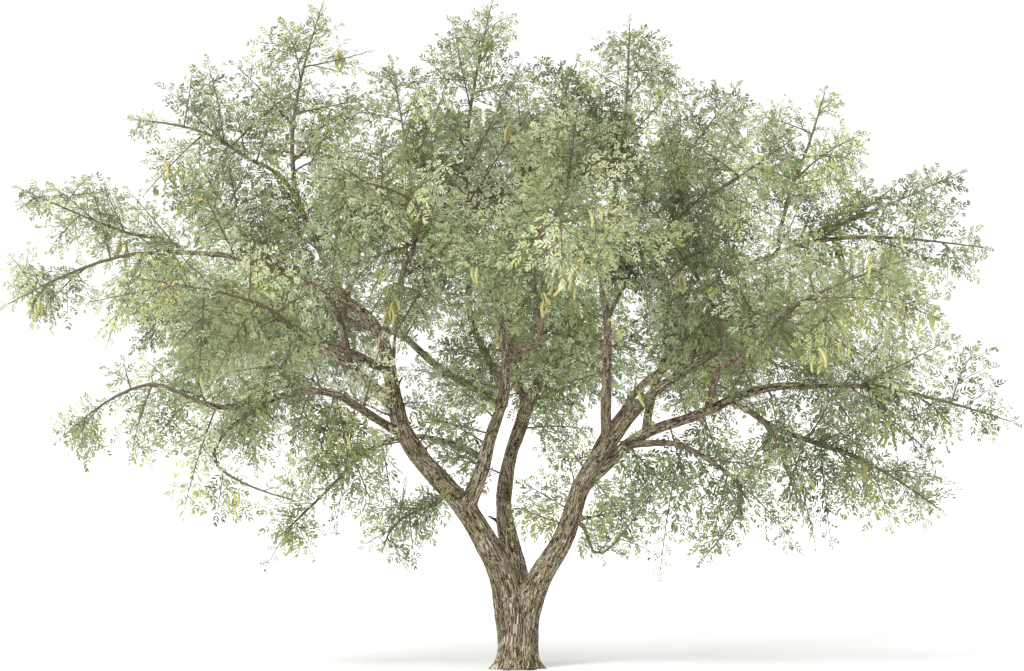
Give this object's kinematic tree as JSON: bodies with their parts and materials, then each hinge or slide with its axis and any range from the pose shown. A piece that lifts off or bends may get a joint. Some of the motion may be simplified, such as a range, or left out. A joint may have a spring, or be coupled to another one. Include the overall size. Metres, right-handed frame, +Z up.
{
  "type": "ghaf tree",
  "caption": "Whole spreading ghaf tree: a furrowed trunk forks into stems and arching boughs that carry a wide, airy, domed crown of feathery foliage, on a flat cut at ground level.",
  "frame": {"origin": "middle of the flat cut under the trunk, at ground level", "axes": "+Z up, +X to the right and -Y towards the viewer of the drawing, so west is -X and south is -Y"},
  "size_m": [9.8519, 7.7594, 6.4306],
  "materials": {
    "trunk_bark": "rough, deeply furrowed grey-brown bark",
    "stem_bark": "rough, furrowed grey-brown bark",
    "limb_bark": "fine, matt grey-brown bark",
    "twigs": "matt olive-brown twig",
    "leaves": "matt sage green leaf",
    "pods": "satin yellow-green pod",
    "blossom": "soft creamy spike"
  },
  "bodies": {
    "root": {"trunk": "trunk_bark", "west_stem": "stem_bark", "east_stem": "stem_bark", "middle_stem": "stem_bark", "inner_stem": "stem_bark", "east_bough": "stem_bark", "west_bough": "stem_bark", "high_west_limb": "limb_bark", "top_west_limb": "limb_bark", "far_west_limb": "limb_bark", "arched_west_limb": "limb_bark", "hanging_west_limb": "limb_bark", "low_west_limb": "limb_bark", "short_west_limb": "limb_bark", "upper_south_limb": "limb_bark", "south_west_limb": "limb_bark", "north_west_limb": "limb_bark", "leading_limb": "limb_bark", "south_limb": "limb_bark", "north_limb": "limb_bark", "upper_north_limb": "limb_bark", "upright_limb": "limb_bark", "inner_east_limb": "limb_bark", "high_east_limb": "limb_bark", "top_east_limb": "limb_bark", "low_east_limb": "limb_bark", "hanging_east_limb": "limb_bark", "south_east_limb": "limb_bark", "north_east_limb": "limb_bark", "short_east_limb": "limb_bark", "far_west_foliage": "leaves", "arched_west_foliage": "leaves", "hanging_west_foliage": "leaves", "west_foliage": "leaves", "upper_west_foliage": "leaves", "high_west_foliage": "leaves", "top_west_foliage": "leaves", "low_west_foliage": "leaves", "short_west_foliage": "leaves", "upper_south_foliage": "leaves", "south_west_foliage": "leaves", "north_west_foliage": "leaves", "inner_foliage": "leaves", "leading_foliage": "leaves", "middle_foliage": "leaves", "south_foliage": "leaves", "north_foliage": "leaves", "upper_north_foliage": "leaves", "east_foliage": "leaves", "upright_foliage": "leaves", "inner_east_foliage": "leaves", "high_east_foliage": "leaves", "top_east_foliage": "leaves", "east_bough_foliage": "leaves", "low_east_foliage": "leaves", "hanging_east_foliage": "leaves", "short_east_foliage": "leaves", "south_east_foliage": "leaves", "north_east_foliage": "leaves"}
  },
  "joints": []
}
